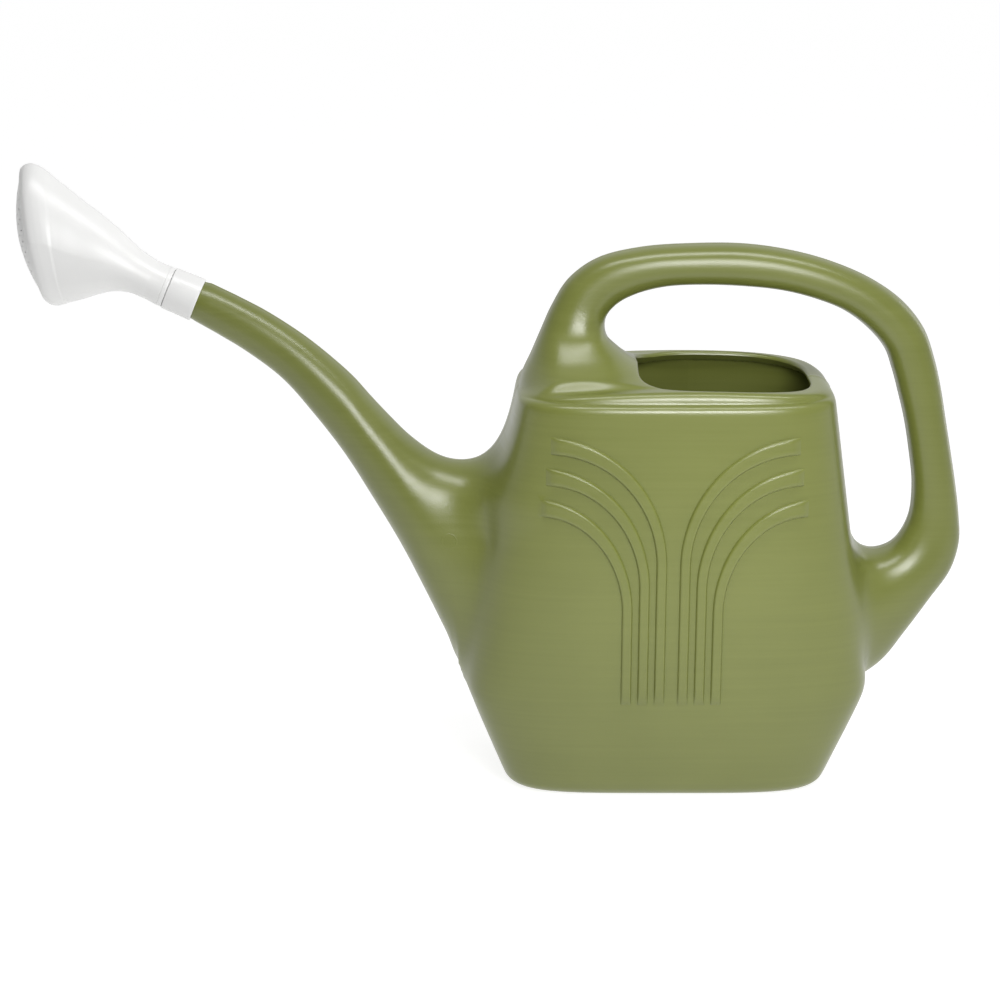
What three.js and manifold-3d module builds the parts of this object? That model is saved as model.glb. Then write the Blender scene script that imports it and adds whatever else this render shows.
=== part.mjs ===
// A two-gallon plastic watering can: a blow-moulded tank with its long spout and loop handle,
// and a pull-off rose that turns on the end of the spout.
//
// Units are millimetres, +Z is up. The origin is the centre of the flat base. The spout points
// to -X, the handle is at +X, and the can is mirrored about the plane y = 0.
//
// Most pieces are lofts: a section is a rounded outline between an upper and a lower edge point
// in the plane y = 0, with a half depth along Y, and the loft runs through a row of sections.

import * as THREE from "three";
import { LoftGeometry } from "three/addons/geometries/LoftGeometry.js";
import { mergeVertices } from "three/addons/utils/BufferGeometryUtils.js";
import Module from "manifold-3d";

const wasm = await Module();
wasm.setup();

// ---------------------------------------------------------------- driving dimensions

const GAP = 0.3; // clearance between neighbouring pieces
const WALL = 2.4; // wall of the blow-moulded can
const CORD = new THREE.Vector3(0, 1, 0); // depth direction of every section

const TANK = {
  baseHalfLength: 110.3, // sharp corner of side and floor
  baseHalfDepth: 64.4,
  lowerFlareLength: 0.42, // growth per millimetre of height, below the waist
  lowerFlareDepth: 0.1,
  shoulderZ: 276.3,
  shoulderHalfLength: 107.5,
  shoulderHalfDepth: 70.8,
  upperTaper: 0.164, // growth per millimetre downwards, from shoulder to waist
  waistSoftness: 4,
  baseRadius: 12.5,
  shoulderRadius: 5,
  planPower: 4.5, // superellipse power of the plan outline
  baseCentreX: -1, // the tank leans a little towards the handle
  shoulderCentreX: 2.5,
  sides: 44,
};

const CAP = {
  inset: 5.4, // step in from the tank's shoulder
  crestZ: 288.8,
  crestX: 10,
  crown: 0.0005, // drop per square millimetre away from the crest
  edgeRadius: 4,
};

const MOUTH = {
  centreX: 34,
  halfLength: 60,
  halfDepth: 56.5,
  power: 3,
  edgeRadius: 2.4,
  lipDepth: 7,
  lipThickness: 2.2,
};

const RIB = {
  height: 1, // proud of the tank face
  narrowHalfWidth: 2.9,
  wideHalfWidth: 5.3,
  bottomZ: 72,
  endBulge: 2,
  steps: 6,
};
// one entry per rib of a fan: foot from the middle, outer end, and height where the bend starts
const RIB_FAN = [
  { footX: 7.9, endX: 82.4, endZ: 253.6, bendZ: 171 },
  { footX: 19.2, endX: 85.4, endZ: 232.3, bendZ: 155 },
  { footX: 30.5, endX: 89.2, endZ: 210.7, bendZ: 138 },
];

// upper and lower edge of the spout, from inside the tank to the tip shoulder
const SPOUT_STATIONS = [
  { upper: [-100, 252], lower: [-108, 50], depth: 34 },
  { upper: [-115, 243], lower: [-127, 54], depth: 36 },
  { upper: [-134, 224.2], lower: [-143, 76.5], depth: 36 },
  { upper: [-157, 226.8], lower: [-154, 101.5], depth: 34.5 },
  { upper: [-177.6, 241.6], lower: [-168, 132], depth: 32 },
  { upper: [-191.8, 256], lower: [-184.7, 166], depth: 28.5 },
  { upper: [-204.7, 270.4], lower: [-203.5, 199], depth: 25 },
  { upper: [-216, 283.7], lower: [-222.8, 231], depth: 22 },
  { upper: [-230, 297], lower: [-243.3, 259], depth: 19.5 },
  { upper: [-250, 313.5], lower: [-264.5, 284], depth: 17 },
  { upper: [-275, 330.2], lower: [-289, 303.2], depth: 15.2 },
  { upper: [-295, 341], lower: [-308, 315.2], depth: 14.4 },
];
const SPOUT_POWER = 2.15;

// outer and inner edge of the loop handle, from inside the cap round to inside the tank's side
const HANDLE_STATIONS = [
  { upper: [-101, 266], lower: [-22, 274], depth: 38 },
  { upper: [-99, 284], lower: [-32, 292], depth: 34 },
  { upper: [-94.5, 300.5], lower: [-41, 304.5], depth: 25 },
  { upper: [-88, 318], lower: [-45.6, 315], depth: 19 },
  { upper: [-80.8, 334.5], lower: [-44.5, 326], depth: 16.8 },
  { upper: [-70, 352], lower: [-37, 335.5], depth: 16 },
  { upper: [-51, 366], lower: [-24, 342.5], depth: 16 },
  { upper: [-22, 373.5], lower: [-5, 347.4], depth: 16 },
  { upper: [15, 376.2], lower: [20, 348.8], depth: 16 },
  { upper: [50, 375.8], lower: [51, 347.6], depth: 16 },
  { upper: [82, 371], lower: [75, 344.8], depth: 16 },
  { upper: [110, 363], lower: [97.6, 339], depth: 16 },
  { upper: [135, 351.8], lower: [117.6, 330.7], depth: 16 },
  { upper: [156.2, 336.8], lower: [134, 318.5], depth: 16 },
  { upper: [171.4, 318], lower: [145.6, 305], depth: 16 },
  { upper: [180, 296], lower: [151.2, 291], depth: 16 },
  { upper: [185.3, 276], lower: [155.8, 276], depth: 16 },
  { upper: [189.6, 255], lower: [161.5, 255], depth: 16 },
  { upper: [194.3, 232], lower: [166, 232], depth: 16 },
  { upper: [198.8, 209], lower: [169.3, 209], depth: 16.3 },
  { upper: [202.3, 187], lower: [168.6, 187], depth: 17 },
  { upper: [203.6, 168], lower: [163.8, 173.5], depth: 18.5 },
  { upper: [198.5, 147.5], lower: [157, 164.3], depth: 21 },
  { upper: [185, 126.5], lower: [146.2, 158.2], depth: 24 },
  { upper: [168.7, 102], lower: [136.5, 161], depth: 26.5 },
  { upper: [153.3, 78], lower: [129, 172], depth: 28 },
  { upper: [138, 60], lower: [120, 190], depth: 29 },
  { upper: [112, 50], lower: [104, 196], depth: 29 },
];
const HANDLE_POWER = 2.2;

const TIP = {
  centre: new THREE.Vector3(-320, 0, 337.6),
  rise: THREE.MathUtils.degToRad(23.5), // slope of the spout's end above level
  radius: 14,
  spigotRadius: 12.5,
  spigotLength: 10,
  boreRadius: 10.8,
};

const COLLAR = {
  length: 21.2,
  mouthRadius: 15.1,
  endRadius: 14.5,
  boreRadius: 12.8,
  grooveRadius: 13.4,
  grooveFrom: 15.2,
  grooveTo: 17.8,
  chamfer: 0.5,
};

const ROSE = {
  wall: 1.6,
  neckRadius: 14,
  snapBeadRadius: 13.05,
  snapBeadFrom: 15.9,
  snapBeadTo: 17.1,
  flarePower: 1.85,
  rimFloorDepth: 4.6, // from the rim's front edge back to the ledge that carries the plate
  ledgeWidth: 2.6,
};
// upper and lower edge of the rose's flared shell, from the neck to the front of the rim
const ROSE_STATIONS = [
  { upper: [-346, 364.2], lower: [-356, 339], depth: 14.2 },
  { upper: [-357.5, 372.5], lower: [-366.5, 343], depth: 15.8 },
  { upper: [-369.5, 384.3], lower: [-376.5, 343.8], depth: 18.4 },
  { upper: [-382.5, 396], lower: [-386.5, 341.8], depth: 21.5 },
  { upper: [-396, 406.6], lower: [-397, 338.6], depth: 24.6 },
  { upper: [-409, 417.5], lower: [-406, 336.3], depth: 27.4 },
  { upper: [-422.5, 428], lower: [-411.5, 335], depth: 29.6 },
  { upper: [-427.5, 429.7], lower: [-415.5, 334.4], depth: 30.3 },
  { upper: [-431.5, 429.2], lower: [-419, 335.2], depth: 30.3 },
  { upper: [-434.4, 427], lower: [-422, 337.4], depth: 29 },
];

const PLATE = {
  thickness: 1.8,
  bulge: 10,
  skirt: 2.6,
  holeRadius: 1.1,
  holeSides: 6,
  holeRings: [
    { count: 1, fraction: 0 },
    { count: 6, fraction: 0.3 },
    { count: 12, fraction: 0.62 },
  ],
};

// ---------------------------------------------------------------- materials

const finish = (color, roughness) =>
  new THREE.MeshStandardMaterial({ color, roughness, metalness: 0 });
const canPlastic = finish(0x7b7f45, 0.42);
const rosePlastic = finish(0xeeeeea, 0.38);

// ---------------------------------------------------------------- solids and meshes

function signedVolume(geometry) {
  const at = geometry.getAttribute("position");
  const index = geometry.index;
  const [a, b, c] = [new THREE.Vector3(), new THREE.Vector3(), new THREE.Vector3()];
  let six = 0;
  for (let i = 0; i < index.count; i += 3) {
    a.fromBufferAttribute(at, index.getX(i));
    b.fromBufferAttribute(at, index.getX(i + 1));
    c.fromBufferAttribute(at, index.getX(i + 2));
    six += a.dot(b.cross(c));
  }
  return six / 6;
}

// A manifold-3d solid from a closed three.js geometry.
function solidOf(geometry) {
  const bare = new THREE.BufferGeometry();
  bare.setAttribute("position", geometry.getAttribute("position"));
  bare.setIndex(geometry.index);
  const merged = mergeVertices(bare, 1e-4);
  return new wasm.Manifold(
    new wasm.Mesh({
      numProp: 3,
      vertProperties: merged.getAttribute("position").array,
      triVerts: new Uint32Array(merged.index.array),
    }),
  );
}

// A loft turned so that its faces point out.
function loftSolid(sections, capped = true) {
  const options = { capStart: capped, capEnd: capped };
  const geometry = new LoftGeometry(sections, options);
  if (signedVolume(geometry) > 0) return solidOf(geometry);
  const turned = sections.map((section) => section.slice().reverse());
  return solidOf(new LoftGeometry(turned, options));
}

function meshOf(solid, name, material) {
  const made = solid.getMesh();
  const geometry = new THREE.BufferGeometry();
  geometry.setAttribute("position", new THREE.BufferAttribute(made.vertProperties, 3));
  geometry.setIndex(new THREE.BufferAttribute(made.triVerts, 1));
  const mesh = new THREE.Mesh(geometry, material);
  mesh.name = name;
  return mesh;
}

// ---------------------------------------------------------------- sections

const signedPower = (value, power) => Math.sign(value) * Math.abs(value) ** power;

function superellipse(angle, halfA, halfB, power) {
  return [
    halfA * signedPower(Math.cos(angle), 2 / power),
    halfB * signedPower(Math.sin(angle), 2 / power),
  ];
}

// A rounded section between an upper and a lower edge point of the plane y = 0.
function edgeSection(upper, lower, depth, power, sides, shrink = 0) {
  const centre = upper.clone().add(lower).multiplyScalar(0.5);
  const up = upper.clone().sub(lower);
  const halfSpan = up.length() / 2 - shrink;
  up.normalize();
  return Array.from({ length: sides }, (_, i) => {
    const [u, v] = superellipse((2 * Math.PI * i) / sides, halfSpan, depth - shrink, power);
    return centre.clone().addScaledVector(up, u).addScaledVector(CORD, v);
  });
}

// Sections along smooth curves through a row of stations.
function stationSections(stations, { power, sides, count, shrink = 0 }) {
  const upper = new THREE.CatmullRomCurve3(
    stations.map((s) => new THREE.Vector3(s.upper[0], s.depth, s.upper[1])),
  );
  const lower = new THREE.CatmullRomCurve3(
    stations.map((s) => new THREE.Vector3(s.lower[0], 0, s.lower[1])),
  );
  return Array.from({ length: count }, (_, i) => {
    const high = upper.getPoint(i / (count - 1));
    const depth = high.y;
    high.setY(0);
    return edgeSection(high, lower.getPoint(i / (count - 1)), depth, power, sides, shrink);
  });
}

// ---------------------------------------------------------------- tank

const softMin = (a, b, softness) => (a + b - Math.hypot(a - b, softness)) / 2;

// How far a fillet of the floor edge stands in from the sloping side at height z.
function baseInset(z, flare) {
  const sweep = Math.PI / 2 - Math.atan(flare);
  const radius = TANK.baseRadius;
  if (z >= radius * (1 - Math.cos(sweep))) return 0;
  const arc = Math.sqrt(radius ** 2 - (radius - z) ** 2);
  return flare * z + radius * Math.tan(sweep / 2) - arc;
}

function tankHalfLength(z) {
  const lower = TANK.baseHalfLength + TANK.lowerFlareLength * z;
  const upper = TANK.shoulderHalfLength + TANK.upperTaper * (TANK.shoulderZ - z);
  return softMin(lower, upper, TANK.waistSoftness) - baseInset(z, TANK.lowerFlareLength);
}

function tankHalfDepth(z) {
  const lower = TANK.baseHalfDepth + TANK.lowerFlareDepth * z;
  return (
    softMin(lower, TANK.shoulderHalfDepth, TANK.waistSoftness / 4) -
    baseInset(z, TANK.lowerFlareDepth)
  );
}

const capTop = (x) => CAP.crestZ - CAP.crown * (x - CAP.crestX) ** 2;

// A level section of the tank; heightAt may give each point its own height.
function planSection(halfLength, halfDepth, power, heightAt, centreX = 0) {
  return Array.from({ length: TANK.sides }, (_, i) => {
    const angle = (2 * Math.PI * i) / TANK.sides;
    const [x, y] = superellipse(angle, halfLength, halfDepth, power);
    return new THREE.Vector3(x + centreX, y, heightAt(x + centreX));
  });
}

const pole = (z) => Array.from({ length: TANK.sides }, () => new THREE.Vector3(0, 0, z));

const tankCentreX = (z) =>
  THREE.MathUtils.lerp(TANK.baseCentreX, TANK.shoulderCentreX, z / TANK.shoulderZ);

const sideSection = (z, inset) =>
  planSection(
    tankHalfLength(z) - inset,
    tankHalfDepth(z) - inset,
    TANK.planPower,
    () => z,
    tankCentreX(z),
  );

const topSection = (inset, heightAt) =>
  planSection(
    TANK.shoulderHalfLength - inset,
    TANK.shoulderHalfDepth - inset,
    TANK.planPower,
    heightAt,
    TANK.shoulderCentreX,
  );

const mouthSection = (outset, heightAt) =>
  planSection(
    MOUTH.halfLength + outset,
    MOUTH.halfDepth + outset,
    MOUTH.power,
    heightAt,
    MOUTH.centreX,
  );

const SIDE_HEIGHTS = [1.2, 4, 8.5, 44, 57, 63, 69, 82, 150, TANK.shoulderZ];

// The outer skin from the floor edge to the edge of the cap's top.
function outerSkin(outset) {
  const sections = [sideSection(0, -outset)];
  for (const z of SIDE_HEIGHTS) sections.push(sideSection(z, -outset));
  for (const turn of [30, 60, 90]) {
    const angle = THREE.MathUtils.degToRad(turn);
    const inset = TANK.shoulderRadius * (1 - Math.cos(angle));
    const z = TANK.shoulderZ + TANK.shoulderRadius * Math.sin(angle) + outset;
    sections.push(topSection(inset - outset, () => z));
  }
  const grooveZ = TANK.shoulderZ + TANK.shoulderRadius + outset;
  for (const turn of [0, 45, 90]) {
    const angle = THREE.MathUtils.degToRad(turn);
    const inset = CAP.inset + CAP.edgeRadius * (1 - Math.cos(angle)) - outset;
    const drop = CAP.edgeRadius * (1 - Math.sin(angle)) - outset;
    sections.push(topSection(inset, (x) => Math.max(grooveZ + 0.2, capTop(x) - drop)));
  }
  return sections;
}

// The tank's outside without its mouth, for trimming what meets it.
function tankBlank(outset) {
  const skin = outerSkin(outset);
  const top = mouthSection(0, (x) => capTop(x) + outset);
  return loftSolid([pole(-outset), ...skin, top, pole(capTop(MOUTH.centreX) + outset)], false);
}

function tankShell() {
  const rim = [
    mouthSection(MOUTH.edgeRadius, (x) => capTop(x)),
    mouthSection(MOUTH.edgeRadius * 0.3, (x) => capTop(x) - MOUTH.edgeRadius * 0.3),
    mouthSection(0, (x) => capTop(x) - MOUTH.edgeRadius),
    mouthSection(0, (x) => capTop(x) - MOUTH.lipDepth),
    mouthSection(MOUTH.lipThickness, (x) => capTop(x) - MOUTH.lipDepth),
    mouthSection(MOUTH.lipThickness, (x) => capTop(x) - WALL - MOUTH.edgeRadius),
    mouthSection(MOUTH.lipThickness + MOUTH.edgeRadius, (x) => capTop(x) - WALL),
  ];
  const underCap = topSection(
    CAP.inset + CAP.edgeRadius + 1,
    (x) => capTop(x) - WALL - 1,
  );
  const inner = SIDE_HEIGHTS.filter((z) => z > 2 * WALL)
    .reverse()
    .map((z) => sideSection(z, WALL));
  const floorEdge = sideSection(WALL, TANK.baseRadius / 2);
  return loftSolid(
    [pole(0), ...outerSkin(0), ...rim, underCap, ...inner, floorEdge, pole(WALL)],
    false,
  );
}

// ---------------------------------------------------------------- ribs

// Middle line and half width of one rib, from its foot to its outer end, on the +X side.
function ribLine(rib) {
  const line = [{ x: rib.footX, z: RIB.bottomZ, half: RIB.narrowHalfWidth, across: [1, 0] }];
  const reachX = rib.endX - rib.footX;
  const reachZ = rib.endZ - rib.bendZ;
  for (let i = 0; i <= RIB.steps; i++) {
    const share = i / RIB.steps;
    const angle = (share * Math.PI) / 2;
    const slope = [reachZ * Math.cos(angle), -reachX * Math.sin(angle)];
    const length = Math.hypot(...slope);
    line.push({
      x: rib.footX + reachX * (1 - Math.cos(angle)),
      z: rib.bendZ + reachZ * Math.sin(angle),
      half: THREE.MathUtils.lerp(RIB.narrowHalfWidth, RIB.wideHalfWidth, share ** 1.5),
      across: [slope[0] / length, slope[1] / length],
    });
  }
  return line;
}

// One rib as a slab through the tank wall, on the side given by mirrorX and mirrorY.
function ribSlab(rib, mirrorX, mirrorY) {
  const line = ribLine(rib);
  const edge = (point, side) =>
    new THREE.Vector2(
      mirrorX * (point.x + side * point.half * point.across[0]),
      point.z + side * point.half * point.across[1],
    );
  const outline = [
    ...line.map((point) => edge(point, 1)),
    ...line.toReversed().map((point) => edge(point, -1)),
    new THREE.Vector2(mirrorX * rib.footX, RIB.bottomZ - RIB.endBulge),
  ];
  const slab = new THREE.ExtrudeGeometry(new THREE.Shape(outline), {
    depth: TANK.shoulderHalfDepth,
    bevelEnabled: false,
  });
  slab.rotateX(Math.PI / 2); // shape's Y becomes Z, and the depth runs to -Y
  if (mirrorY > 0) slab.translate(0, TANK.shoulderHalfDepth + TANK.baseHalfDepth / 2, 0);
  else slab.translate(0, -TANK.baseHalfDepth / 2, 0);
  return solidOf(slab);
}

// ---------------------------------------------------------------- spout and handle

const tipAxis = new THREE.Vector3(-Math.cos(TIP.rise), 0, Math.sin(TIP.rise));
const tipUp = new THREE.Vector3(Math.sin(TIP.rise), 0, Math.cos(TIP.rise));

// A round section square to the tip's axis, at a distance out from the tip shoulder.
function tipSection(distance, radius, sides) {
  const centre = TIP.centre.clone().addScaledVector(tipAxis, distance);
  const upper = centre.clone().addScaledVector(tipUp, radius);
  const lower = centre.clone().addScaledVector(tipUp, -radius);
  return edgeSection(upper, lower, radius, 2, sides);
}

function spoutSolids() {
  const sides = 20;
  const row = { power: SPOUT_POWER, sides, count: 15 };
  const outside = loftSolid([
    ...stationSections(SPOUT_STATIONS, row),
    tipSection(0, TIP.radius, sides),
    tipSection(0.1, TIP.spigotRadius, sides),
    tipSection(TIP.spigotLength, TIP.spigotRadius, sides),
  ]);
  const bore = loftSolid([
    ...stationSections(SPOUT_STATIONS, { ...row, shrink: WALL }),
    tipSection(0, TIP.boreRadius, sides),
    tipSection(TIP.spigotLength + 5, TIP.boreRadius, sides),
  ]);
  return { outside, bore };
}

function handleSolids() {
  const row = { power: HANDLE_POWER, sides: 14, count: 35 };
  return {
    outside: loftSolid(stationSections(HANDLE_STATIONS, row)),
    bore: loftSolid(stationSections(HANDLE_STATIONS, { ...row, shrink: WALL })),
  };
}

// ---------------------------------------------------------------- rose

// The collar is a sleeve, turned about its own axis, with a groove for the rose's snap bead.
function collarSolid() {
  const profile = [
    [COLLAR.boreRadius, GAP],
    [COLLAR.mouthRadius - COLLAR.chamfer, GAP],
    [COLLAR.mouthRadius, GAP + COLLAR.chamfer],
    [COLLAR.endRadius, COLLAR.length - COLLAR.chamfer],
    [COLLAR.endRadius - COLLAR.chamfer, COLLAR.length],
    [COLLAR.boreRadius, COLLAR.length],
    [COLLAR.boreRadius, COLLAR.grooveTo],
    [COLLAR.grooveRadius, COLLAR.grooveTo],
    [COLLAR.grooveRadius, COLLAR.grooveFrom],
    [COLLAR.boreRadius, COLLAR.grooveFrom],
    [COLLAR.boreRadius, GAP],
  ].map(([radius, along]) => new THREE.Vector2(radius, along));
  const sleeve = new THREE.LatheGeometry(profile, 28);
  const turn = new THREE.Quaternion().setFromUnitVectors(new THREE.Vector3(0, 1, 0), tipAxis);
  sleeve.applyQuaternion(turn);
  sleeve.translate(TIP.centre.x, TIP.centre.y, TIP.centre.z);
  return solidOf(sleeve);
}

// The face plane of the rose: its centre, the way up across it, and the way out of it.
const face = (() => {
  const rim = ROSE_STATIONS.at(-1);
  const upper = new THREE.Vector3(rim.upper[0], 0, rim.upper[1]);
  const lower = new THREE.Vector3(rim.lower[0], 0, rim.lower[1]);
  const up = upper.clone().sub(lower);
  const halfSpan = up.length() / 2;
  up.normalize();
  const centre = upper.clone().add(lower).multiplyScalar(0.5);
  return { centre, up, out: new THREE.Vector3(-up.z, 0, up.x), halfSpan, depth: rim.depth };
})();

// A section parallel to the face, shrunk from the rim and set back from its front.
function faceSection(setBack, shrink, sides) {
  const centre = face.centre.clone().addScaledVector(face.out, -setBack);
  const upper = centre.clone().addScaledVector(face.up, face.halfSpan);
  const lower = centre.clone().addScaledVector(face.up, -face.halfSpan);
  return edgeSection(upper, lower, face.depth, ROSE.flarePower, sides, shrink);
}

function roseShellSolid() {
  const sides = 28;
  const row = { power: ROSE.flarePower, sides, count: 10 };
  const spigotStart = TIP.spigotLength + 0.6;
  const neckStart = COLLAR.length + GAP;
  const outside = loftSolid([
    tipSection(spigotStart, TIP.spigotRadius, sides),
    tipSection(ROSE.snapBeadFrom - 0.5, TIP.spigotRadius, sides),
    tipSection(ROSE.snapBeadFrom, ROSE.snapBeadRadius, sides),
    tipSection(ROSE.snapBeadTo, ROSE.snapBeadRadius, sides),
    tipSection(ROSE.snapBeadTo + 0.5, TIP.spigotRadius, sides),
    tipSection(neckStart, TIP.spigotRadius, sides),
    tipSection(neckStart + 0.1, ROSE.neckRadius, sides),
    ...stationSections(ROSE_STATIONS, row),
  ]);
  const hollowRow = { ...row, shrink: ROSE.wall + ROSE.ledgeWidth / 2 };
  const hollow = loftSolid([
    tipSection(spigotStart - 2, TIP.boreRadius, sides),
    tipSection(neckStart + 4, TIP.boreRadius, sides),
    ...stationSections(ROSE_STATIONS.slice(1, 7), hollowRow),
    faceSection(ROSE.rimFloorDepth + 1, ROSE.wall + ROSE.ledgeWidth, sides),
    faceSection(ROSE.rimFloorDepth - 1, ROSE.wall + ROSE.ledgeWidth, sides),
  ]);
  const seat = loftSolid([
    faceSection(ROSE.rimFloorDepth, ROSE.wall, sides),
    faceSection(-2, ROSE.wall, sides),
  ]);
  return outside.subtract(hollow).subtract(seat);
}

// The perforated plate: a domed oval dish with a short skirt, standing on the shell's ledge.
function rosePlateSolid() {
  const sides = 28;
  const shrink = ROSE.wall + GAP;
  const halfSpan = face.halfSpan - shrink;
  const depth = face.depth - shrink;
  const domeSection = (share, below, narrower) => {
    const height = PLATE.bulge * (1 - share ** 2) - below;
    const centre = face.centre.clone().addScaledVector(face.out, height);
    const reach = Math.max(share * halfSpan - narrower, 0);
    const upper = centre.clone().addScaledVector(face.up, reach + 1e-3);
    const lower = centre.clone().addScaledVector(face.up, -reach - 1e-3);
    const across = Math.max(share * depth - narrower, 1e-3);
    return edgeSection(upper, lower, across, ROSE.flarePower, sides);
  };
  const shares = [0.02, 0.4, 0.75, 1];
  const thin = PLATE.thickness;
  const dish = loftSolid(shares.map((share) => domeSection(share, 0, 0)).concat([
    domeSection(1, PLATE.skirt, 0),
  ]));
  const under = loftSolid(shares.map((share) => domeSection(share, thin, thin)).concat([
    domeSection(1, PLATE.skirt + 2, thin),
  ]));
  let plate = dish.subtract(under);
  for (const ring of PLATE.holeRings) {
    for (let i = 0; i < ring.count; i++) {
      const angle = (2 * Math.PI * (i + 0.5)) / ring.count;
      const up = ring.fraction * halfSpan * Math.cos(angle);
      const across = ring.fraction * depth * Math.sin(angle);
      plate = plate.subtract(plateHole(up, across));
    }
  }
  return plate;
}

function plateHole(up, across) {
  const drill = new THREE.CylinderGeometry(
    PLATE.holeRadius,
    PLATE.holeRadius,
    4 * PLATE.bulge,
    PLATE.holeSides,
  );
  const turn = new THREE.Quaternion().setFromUnitVectors(new THREE.Vector3(0, 1, 0), face.out);
  drill.applyQuaternion(turn);
  const at = face.centre.clone().addScaledVector(face.up, up).addScaledVector(CORD, across);
  drill.translate(at.x, at.y, at.z);
  return solidOf(drill);
}

// ---------------------------------------------------------------- assembly

const spout = spoutSolids();
const handle = handleSolids();
const trim = tankBlank(GAP);

let tank = tankShell();
const ribLimit = tankBlank(RIB.height);
for (const rib of RIB_FAN) {
  for (const mirrorX of [-1, 1]) {
    for (const mirrorY of [-1, 1]) {
      const slab = ribSlab(rib, mirrorX, mirrorY);
      tank = tank.add(slab.intersect(ribLimit).subtract(tankBlank(-WALL / 2)));
    }
  }
}
tank = tank.subtract(spout.bore).subtract(handle.bore);

const can = new THREE.Group();
can.add(meshOf(tank, "tank", canPlastic));
can.add(meshOf(spout.outside.subtract(spout.bore).subtract(trim), "spout", canPlastic));
can.add(meshOf(handle.outside.subtract(handle.bore).subtract(trim), "handle", canPlastic));

const rose = new THREE.Group();
rose.add(meshOf(collarSolid(), "rose_collar", rosePlastic));
rose.add(meshOf(roseShellSolid(), "rose_shell", rosePlastic));
rose.add(meshOf(rosePlateSolid(), "rose_plate", rosePlastic));

const wateringCan = new THREE.Group();
wateringCan.add(can, rose);

export default wateringCan;
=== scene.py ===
"""A plastic watering can: one blow-moulded green can and a white pull-off rose.

The can's visible skin is one mesh. The tank, the spout and the handle are lofted through the
stations of the frame's solids, with these differences: the spout's start and the handle's two ends
go more squarely into the tank, the handle's root is wider, and its section is a little squarer.
They are joined, and their meeting lines are filled with soft fillets. Sizes are in millimetres in
the frame's axes; meshes are made in metres.
"""

import math

import bmesh
import bpy
import numpy as np
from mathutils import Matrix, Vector
from mathutils.bvhtree import BVHTree


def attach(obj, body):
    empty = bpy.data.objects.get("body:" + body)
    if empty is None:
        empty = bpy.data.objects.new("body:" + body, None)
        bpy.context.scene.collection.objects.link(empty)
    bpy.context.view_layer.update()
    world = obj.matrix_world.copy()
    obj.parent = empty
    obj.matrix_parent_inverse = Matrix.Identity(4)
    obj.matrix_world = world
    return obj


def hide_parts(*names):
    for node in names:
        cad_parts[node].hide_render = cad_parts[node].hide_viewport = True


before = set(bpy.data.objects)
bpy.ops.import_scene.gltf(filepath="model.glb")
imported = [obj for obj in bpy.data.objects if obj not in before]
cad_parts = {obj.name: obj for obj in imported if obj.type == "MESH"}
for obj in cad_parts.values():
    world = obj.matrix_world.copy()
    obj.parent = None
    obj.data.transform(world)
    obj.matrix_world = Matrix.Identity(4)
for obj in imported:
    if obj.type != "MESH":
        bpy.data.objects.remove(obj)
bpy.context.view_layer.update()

MM = 0.001
rng = np.random.default_rng(7)

# ------------------------------------------------------------------ driving dimensions

WALL = 2.4

SHOULDER_Z = 276.3
GROOVE_Z = 281.35
SHOULDER_HALF_LENGTH = 107.5
SHOULDER_HALF_DEPTH = 70.8
SHOULDER_CENTRE_X = 2.5
BASE_HALF_LENGTH = 110.3
BASE_HALF_DEPTH = 64.4
END_FLARE = 0.42  # how far the ends lean out per height below the widest place
END_TAPER = 0.164  # and how far they lean in above it
FACE_FLARE = 0.1
END_SOFTNESS = 4  # of the bend at the widest place
FACE_SOFTNESS = 1
BASE_RADIUS = 12.5
BASE_CENTRE_X = -1
RECESS_Z = 2.2
FLOOR_Z = 4.8  # inside
CAP_CREST_X = 10
CAP_CREST_Z = 288.8
CAP_CURVE = 0.0005
CAP_INSET = 11
END_SWEEP_BELOW = 2  # the ends start to round over this far under the shoulder
END_BLEND = (0.3, 0.84)  # shares of the half depth between which the sweep gives way to the groove
PLAN_POWER = 4.5
TANK_SIDES = 240

# Rows from the shoulder to the cap's top. Along the front and back a groove parts the shoulder
# from the cap: each row is (inset, share of the way from the groove to the cap's top).
SHOULDER_ARC = [15, 30, 45, 60, 75, 90]
SHOULDER_INSET = 5
CAP_ROWS = [(5.3, 0.02), (5.5, 0.08), (5.65, 0.2), (5.8, 0.36), (6.2, 0.56), (7, 0.76)]
CAP_ROWS += [(8.2, 0.9), (9.6, 0.975), (CAP_INSET, 1)]

MOUTH_CENTRE_X = 34
MOUTH_HALF_LENGTH = 60
MOUTH_HALF_DEPTH = 56.5
MOUTH_POWER = 3
RIM_RADIUS = 2.4
LIP_DEPTH = 7
LIP_THICKNESS = 2.2
LIP_SLANT = 4
LIP_ROUGHNESS = 0.22

# upper edge (x, z), lower edge (x, z) and half depth of each section
SPOUT_STATIONS = [
    ((-96, 218), (-104, 70), 34),
    ((-116, 218.5), (-124, 66), 36),
    ((-136, 220), (-143, 76.5), 36),
    ((-157, 226.8), (-154, 101.5), 34.5),
    ((-177.6, 241.6), (-168, 132), 32),
    ((-191.8, 256), (-184.7, 166), 28.5),
    ((-204.7, 270.4), (-203.5, 199), 25),
    ((-216, 283.7), (-222.8, 231), 22),
    ((-230, 297), (-243.3, 259), 19.5),
    ((-250, 313.5), (-264.5, 284), 17),
    ((-275, 330.2), (-289, 303.2), 15.2),
    ((-295, 341), (-308, 315.2), 14.4),
]
SPOUT_POWER = 2.15
SPOUT_GRID = (96, 110)  # points round a section, and sections along the spout

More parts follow.
